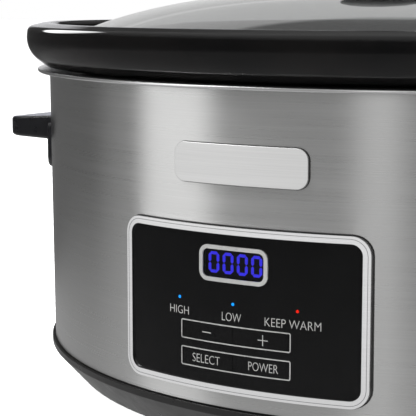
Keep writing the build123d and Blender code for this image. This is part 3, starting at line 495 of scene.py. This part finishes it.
def front_point(x, z, out):
    """Point in metres on the front wall at a distance outside the oval."""
    x, z, out = x * MM, z * MM, out * MM
    return Vector((x, SIDE_CENTRE - math.sqrt((SIDE_RADIUS + out) ** 2 - x * x), z))


def words(name, text, centre, size, body, weight):
    """Printed words, scaled to a width and height and bent to the panel's face."""
    curve = bpy.data.curves.new(name, "FONT")
    curve.body = text
    curve.extrude = 1.0
    curve.offset = weight
    curve.resolution_u = 4
    flat = shown(name + "_flat", curve)
    bpy.context.view_layer.update()
    mesh = bpy.data.meshes.new_from_object(flat)
    bpy.data.objects.remove(flat)
    xs = [v.co.x for v in mesh.vertices]
    ys = [v.co.y for v in mesh.vertices]
    for vertex in mesh.vertices:
        right = (vertex.co.x - (min(xs) + max(xs)) / 2) / (max(xs) - min(xs)) * size[0]
        rise = (vertex.co.y - (min(ys) + max(ys)) / 2) / (max(ys) - min(ys)) * size[1]
        out = FACE_FRONT + INK_HEIGHT * max(0.0, vertex.co.z)
        vertex.co = front_point(centre[0] + right, centre[1] + rise, out)
    return piece(name, mesh, FINISHES["print_grey"], body)


def rounded_outline(half, corner):
    """Points round a rounded rectangle, anticlockwise as seen from the front."""
    points = []
    for side_x, side_z, start in ((1, 1, 0), (-1, 1, 90), (-1, -1, 180), (1, -1, 270)):
        centre = ((half[0] - corner) * side_x, (half[1] - corner) * side_z)
        for part in range(OUTLINE_CORNER_STEPS + 1):
            angle = math.radians(start + 90 * part / OUTLINE_CORNER_STEPS)
            x = centre[0] + corner * math.cos(angle)
            z = centre[1] + corner * math.sin(angle)
            points.append((x, z))
    filled = []
    for here, there in zip(points, points[1:] + points[:1]):
        count = max(1, round(math.dist(here, there) / OUTLINE_STEP))
        for part in range(count):
            share = part / count
            filled.append([a + (b - a) * share for a, b in zip(here, there)])
    return filled


def frame_line(name, centre, half, corner, width, low, high, material, slot):
    """Raised line round a rounded rectangle on the front; low and high are out from the oval."""
    outer = rounded_outline(half, corner)
    inner = []
    for point in outer:
        # move each point inwards along the outline's own normal
        core = [max(corner - h, min(h - corner, p)) for h, p in zip(half, point)]
        reach = math.dist(point, core)
        share = (reach - width) / reach
        inner.append([c + (p - c) * share for c, p in zip(core, point)])
    vertices = []
    for loop, out in ((outer, low), (outer, high), (inner, high), (inner, low)):
        vertices += [front_point(centre[0] + x, centre[1] + z, out) for x, z in loop]
    count = len(outer)
    faces = []
    for level in range(4):
        for i in range(count):
            j = (i + 1) % count
            a, b = level * count, ((level + 1) % 4) * count
            faces.append((a + i, a + j, b + j, b + i))
    return piece(name, plain_mesh(name, vertices, faces), FINISHES[material], "housing")


THIN = -0.012              # change of the letters' outline, as a share of their size
for label in (
    # name, words, centre, width and height, body, change of outline
    ("label_high", "HIGH", (-28.0, 64.9), (10.5, 3.5), "housing", THIN),
    ("label_low", "LOW", (-0.6, 64.9), (9.4, 3.6), "housing", THIN),
    ("label_warm", "KEEP WARM", (27.5, 64.8), (24.6, 3.6), "housing", THIN),
    ("label_select", "SELECT", (-13.5, 45.1), (14.3, 3.7), "key_select", THIN),
    ("label_power", "POWER", (14.5, 45.2), (13.7, 3.7), "key_power", THIN),
    ("label_minus", "–", (-13.2, 56.8), (4.6, 0.45), "key_minus", 0.0),
    ("label_plus", "+", (14.3, 56.7), (4.6, 4.6), "key_plus", 2 * THIN),
):
    words(*label)

KEY_OUTLINE = ((26.9, 4.2), 0.9, 0.5, FACE_FRONT, FACE_FRONT + INK_HEIGHT)
PANEL_CENTRE = (0.0, 67.4)
BADGE_CENTRE = (1.7, 128.75)
for line in (
    # name, centre, half size, corner radius, width, low, high, material, slot
    ("outline_upper", (0.0, 56.95), *KEY_OUTLINE, "print_grey", "frame_metal"),
    ("outline_lower", (0.0, 45.2), *KEY_OUTLINE, "print_grey", "frame_metal"),
    # dark gasket round the panel's frame: a seal that also paints the shadow line in the gap
    # between frame and steel
    ("panel_gasket_shade", PANEL_CENTRE, (60.1, 35.9), 8.4, 0.5, -1.1, 0.1, "silicone", "silicone"),
    # painted shade of a fine groove between the frame's bevel and its face: a thin raised line of
    # dark steel
    (
        "bezel_groove",
        PANEL_CENTRE,
        (58.65, 34.45),
        7.0,
        0.25,
        1.7,
        1.83,
        "groove_steel",
        "bezel_chrome",
    ),
    # the badge's dark backing: a seal round it that also paints the shadow line at its edge
    ("badge_backing_shade", BADGE_CENTRE, (32.2, 8.65), 5.2, 0.45, -1.0, 0.25, "silicone", "silicone"),
):
    frame_line(*line)


# ---- Floor ----------------------------------------------------------------------------------
FLOOR_HALF = 8.0
floor_finish = Finish("floor_white", (0.9, 0.9, 0.9), 0.9)
floor_finish.mottle(floor_finish.range(floor_finish.noise(3), 0, 1), share=0.01)
floor_corners = [
    (x * FLOOR_HALF, y * FLOOR_HALF, 0) for x, y in ((-1, -1), (1, -1), (1, 1), (-1, 1))
]
floor = shown("floor", plain_mesh("floor", floor_corners, [(0, 1, 2, 3)]))
floor.data.materials.append(floor_finish.material)
floor.visible_glossy = False
floor.visible_transmission = False


# ---- Cards: softboxes that only reflections see ---------------------------------------------
CARD_CENTRE = Vector((0, 0, 0.12))
CARD_GRID = (48, 12)       # columns and rows
OVAL_CARD_GRID = (36, 24)


def receivers(name, objects):
    """Collection of what a light or card shines on."""
    group = bpy.data.collections.new(name)
    for made in objects:
        group.objects.link(made)
    return group


def smooth(value):
    value = max(0.0, min(1.0, value))
    return value * value * (3 - 2 * value)


def card_material(name, colour, strength):
    """Emission scaled by the mesh's own glow attribute, added to what is behind."""
    material = bpy.data.materials.new(name)
    material.use_nodes = True
    tree = material.node_tree
    tree.nodes.clear()
    glow = tree.nodes.new("ShaderNodeAttribute")
    glow.attribute_name = "glow"
    scale = tree.nodes.new("ShaderNodeMath")
    scale.operation = "MULTIPLY"
    scale.inputs[1].default_value = strength
    light = tree.nodes.new("ShaderNodeEmission")
    light.inputs["Color"].default_value = (*colour, 1.0)
    behind = tree.nodes.new("ShaderNodeBsdfTransparent")
    both = tree.nodes.new("ShaderNodeAddShader")
    out = tree.nodes.new("ShaderNodeOutputMaterial")
    tree.links.new(glow.outputs["Fac"], scale.inputs[0])
    tree.links.new(scale.outputs[0], light.inputs["Strength"])
    tree.links.new(light.outputs[0], both.inputs[0])
    tree.links.new(behind.outputs[0], both.inputs[1])
    tree.links.new(both.outputs[0], out.inputs["Surface"])
    return material


def card(name, vertices, faces, glow, colour, strength, group):
    mesh = plain_mesh(name, vertices, faces)
    mesh.attributes.new("glow", "FLOAT", "POINT").data.foreach_set("value", glow)
    mesh.materials.append(card_material(name, colour, strength))
    made = shown(name, mesh)
    made.visible_camera = False
    made.visible_shadow = False
    made.visible_diffuse = False
    made.visible_transmission = False
    made.light_linking.receiver_collection = group


def faded(position, feather):
    """Brightness across a card: full in its middle, gone at both edges."""
    return smooth(min(position, 1 - position) / feather) if feather else 1.0


def curved_card(
    name, group, azimuths, elevations, distance, strength, feather, colour=(1, 1, 1), oval=False
):
    """Card on a sphere round the cooker; azimuth 0 is in front and 90 on the right."""
    columns, rows = OVAL_CARD_GRID if oval else CARD_GRID
    vertices, glow = [], []
    for row in range(rows + 1):
        v = row / rows
        elevation = math.radians(elevations[0] + (elevations[1] - elevations[0]) * v)
        for column in range(columns + 1):
            u = column / columns
            azimuth = math.radians(azimuths[0] + (azimuths[1] - azimuths[0]) * u)
            out = Vector((math.sin(azimuth), -math.cos(azimuth), 0)) * math.cos(elevation)
            out.z = math.sin(elevation)
            vertices.append(CARD_CENTRE + out * distance)
            if oval:
                glow.append(smooth((1 - math.hypot(2 * u - 1, 2 * v - 1)) / feather[0]))
            else:
                glow.append(faded(u, feather[0]) * faded(v, feather[1]))
    faces = []
    for row in range(rows):
        for column in range(columns):
            a = row * (columns + 1) + column
            faces.append((a, a + 1, a + columns + 2, a + columns + 1))
    card(name, vertices, faces, glow, colour, strength, group)


def disc_card(name, group, centre, radius, strength, feather):
    """Round card just over the floor."""
    rings, spokes = 10, 48
    x, y, z = centre
    vertices, glow = [centre], [1.0]
    for ring in range(1, rings + 1):
        share = ring / rings
        for spoke in range(spokes):
            angle = 2 * math.pi * spoke / spokes
            reach = radius * share
            vertices.append((x + reach * math.cos(angle), y + reach * math.sin(angle), z))
            glow.append(smooth((1 - share) / feather))
    faces = [(0, 1 + spoke, 1 + (spoke + 1) % spokes) for spoke in range(spokes)]
    for ring in range(rings - 1):
        for spoke in range(spokes):
            a = 1 + ring * spokes
            n = (spoke + 1) % spokes
            faces.append((a + spoke, a + spokes + spoke, a + spokes + n, a + n))
    card(name, vertices, faces, glow, (1, 1, 1), strength, group)


def named(*names):
    return [nodes[name] for name in names]


steel_group = receivers("lit_steel", named("outer_wrap", "rim_ring"))
trim_group = receivers(
    "lit_trim",
    named("panel_bezel", "badge_plate", "display_frame") + [bpy.data.objects["bezel_groove"]],
)
glaze_group = receivers("lit_glaze", [crock_glaze])
lid_group = receivers("lit_lid", [lid_dome])
handle_group = receivers("lit_handles", named("handle_left", "handle_right"))
behind_group = receivers(
    "lit_behind", [crock_glaze] + named("handle_left", "handle_right", "lid_knob", "rim_ring")
)
ground_group = receivers(
    "lit_ground",
    named("outer_wrap", "base_pan", "rubber_feet", "rim_ring", "handle_left", "handle_right"),
)

# Softboxes that the steel mirrors: a bright one on its left with a long soft edge, a dim wall in
# front, a small one in front on the right, and two for the sides and back
STEEL_ELEVATIONS = (-25, 50)
STEEL_DISTANCE = 1.6
for card_name, card_azimuths, card_strength, card_feather in (
    ("band_left", (-67, -32), 1.32, 0.3),
    ("fade_left", (-88, -52), 0.22, 0.5),
    ("fill_front", (-46, 105), 0.28, 0.1),
    ("band_right", (0, 22), 0.62, 0.45),
    ("band_far_left", (-170, -118), 0.15, 0.4),
    ("band_back", (112, 165), 1.0, 0.3),
):
    curved_card(
        card_name,
        steel_group,
        card_azimuths,
        STEEL_ELEVATIONS,
        STEEL_DISTANCE,
        card_strength,
        (card_feather, 0.3),
    )

PALE = (0.97, 0.97, 1.0)
COOL = (0.8, 0.82, 1.0)
for card_values in (
    # name, what mirrors it, azimuths, elevations, distance, strength, feather across and up
    ("fade_far_left", steel_group, (-150, -62), (-14, 40), 1.6, 0.07, (0.4, 0.12)),
    ("trim_front", trim_group, (-90, 60), (-30, 50), 1.5, 0.72, (0.2, 0.2)),
    # a pale backdrop behind, seen in the glaze and the plastic at low angles
    ("backdrop", behind_group, (-190, -128), (-20, 16), 1.7, 0.7, (0.1, 0.06), PALE),
    ("handle_behind", handle_group, (-190, -115), (-20, 30), 1.6, 0.55, (0.2, 0.1), COOL),
    # what the glass lid mirrors
    ("lid_low", lid_group, (-180, 180), (-8, 20), 1.8, 0.74, (0, 0.06)),
    ("lid_high", lid_group, (-180, 180), (17.5, 41), 1.8, 0.84, (0, 0.07)),
):
    curved_card(*card_values)
# the window that the glaze mirrors on the left
curved_card("rim_highlight", glaze_group, (-116, -90), (11, 37), 1.5, 6.0, (0.2, 0.2), oval=True)
disc_card("floor_near", ground_group, (-0.1, -0.1, 0.0005), 0.5, 0.26, 0.5)


# ---- Lamps and world ------------------------------------------------------------------------
def area(name, location, size, power, target, group):
    """Square area lamp that points at a target and shines on a group."""
    data = bpy.data.lights.new(name, "AREA")
    data.shape = "RECTANGLE"
    data.size = size
    data.size_y = size
    data.energy = power
    made = shown(name, data)
    made.location = location
    made.rotation_mode = "QUATERNION"
    made.rotation_quaternion = (Vector(target) - Vector(location)).to_track_quat("-Z", "Y")
    made.visible_camera = False
    made.light_linking.receiver_collection = group


# the key light shines on everything but the crock's glaze
key_group = receivers("unlit_by_key", [crock_glaze])
key_group.collection_objects[0].light_linking.link_state = "EXCLUDE"
area("key_soft", (-0.9, -0.5, 1.6), 1.0, 14.0, (0, 0, 0.1), key_group)
# even light that keeps the floor pale, and a softer overhead one that grounds the cooker
floor_group = receivers("lit_floor", [floor])
even = bpy.data.lights.new("floor_even", "SUN")
even.energy = 3.7
even.use_shadow = False
shown("floor_even", even).light_linking.receiver_collection = floor_group
area("floor_top", (0, 0.2, 2.4), 3.0, 25.0, (0, 0.2, 0), floor_group)

# Share of the way from straight down to straight up, and brightness there
WORLD_STOPS = (
    (0.0, 0.24),
    (0.36, 0.19),
    (0.43, 0.08),
    (0.465, 0.05),
    (0.66, 0.08),
    (0.8, 0.3),
    (0.95, 0.6),
)
SEEN_DIRECTLY = 1.0
SEEN_THROUGH_GLASS = 0.3


def studio_world():
    """A white studio: reflections see a dim wall, pale floor and brighter ceiling in it."""
    world = bpy.data.worlds.new("studio")
    world.use_nodes = True
    tree = world.node_tree
    tree.nodes.clear()
    place = tree.nodes.new("ShaderNodeTexCoord")
    split = tree.nodes.new("ShaderNodeSeparateXYZ")
    rise = tree.nodes.new("ShaderNodeMapRange")
    rise.inputs["From Min"].default_value = -1.0
    wall = tree.nodes.new("ShaderNodeValToRGB")
    wall.color_ramp.interpolation = "EASE"
    while len(wall.color_ramp.elements) < len(WORLD_STOPS):
        wall.color_ramp.elements.new(0.5)
    for element, (at, level) in zip(wall.color_ramp.elements, WORLD_STOPS):
        element.position = at
        element.color = (level, level, level, 1)
    path = tree.nodes.new("ShaderNodeLightPath")
    direct, through = (tree.nodes.new("ShaderNodeMix") for _ in range(2))
    for mix, level in ((direct, SEEN_DIRECTLY), (through, SEEN_THROUGH_GLASS)):
        mix.data_type = "RGBA"
        mix.inputs[7].default_value = (level, level, level, 1)
    background = tree.nodes.new("ShaderNodeBackground")
    out = tree.nodes.new("ShaderNodeOutputWorld")
    for source, socket in (
        (place.outputs["Generated"], split.inputs[0]),
        (split.outputs["Z"], rise.inputs["Value"]),
        (rise.outputs[0], wall.inputs["Fac"]),
        (path.outputs["Is Camera Ray"], direct.inputs[0]),
        (path.outputs["Is Transmission Ray"], through.inputs[0]),
        (wall.outputs["Color"], through.inputs[6]),
        (through.outputs[2], direct.inputs[6]),
        (direct.outputs[2], background.inputs["Color"]),
        (background.outputs[0], out.inputs["Surface"]),
    ):
        tree.links.new(source, socket)
    bpy.context.scene.world = world


studio_world()
scene = bpy.context.scene
scene.view_settings.view_transform = "Standard"

# ---- Camera: on the right of the front, slightly above, looking down a little ----------------
CAMERA_PLACE = (0.31925, -0.64914, 0.19867)
AZIMUTH = math.radians(32.682)
PITCH = math.radians(8.214)
FOCAL_LENGTH = 128.6       # millimetres, on a sensor 36 mm wide
level_x = -math.sin(AZIMUTH) * math.cos(PITCH)
level_y = math.cos(AZIMUTH) * math.cos(PITCH)
forward = Vector((level_x, level_y, -math.sin(PITCH)))
across = Vector((math.cos(AZIMUTH), math.sin(AZIMUTH), 0))
lens = bpy.data.cameras.new("camera")
lens.lens = FOCAL_LENGTH
lens.sensor_width = 36.0
lens.clip_start = 0.01
camera = shown("camera", lens)
turn = Matrix((across, across.cross(forward), -forward)).transposed()
camera.matrix_world = Matrix.Translation(CAMERA_PLACE) @ turn.to_4x4()
scene.camera = camera

bpy.context.view_layer.update()
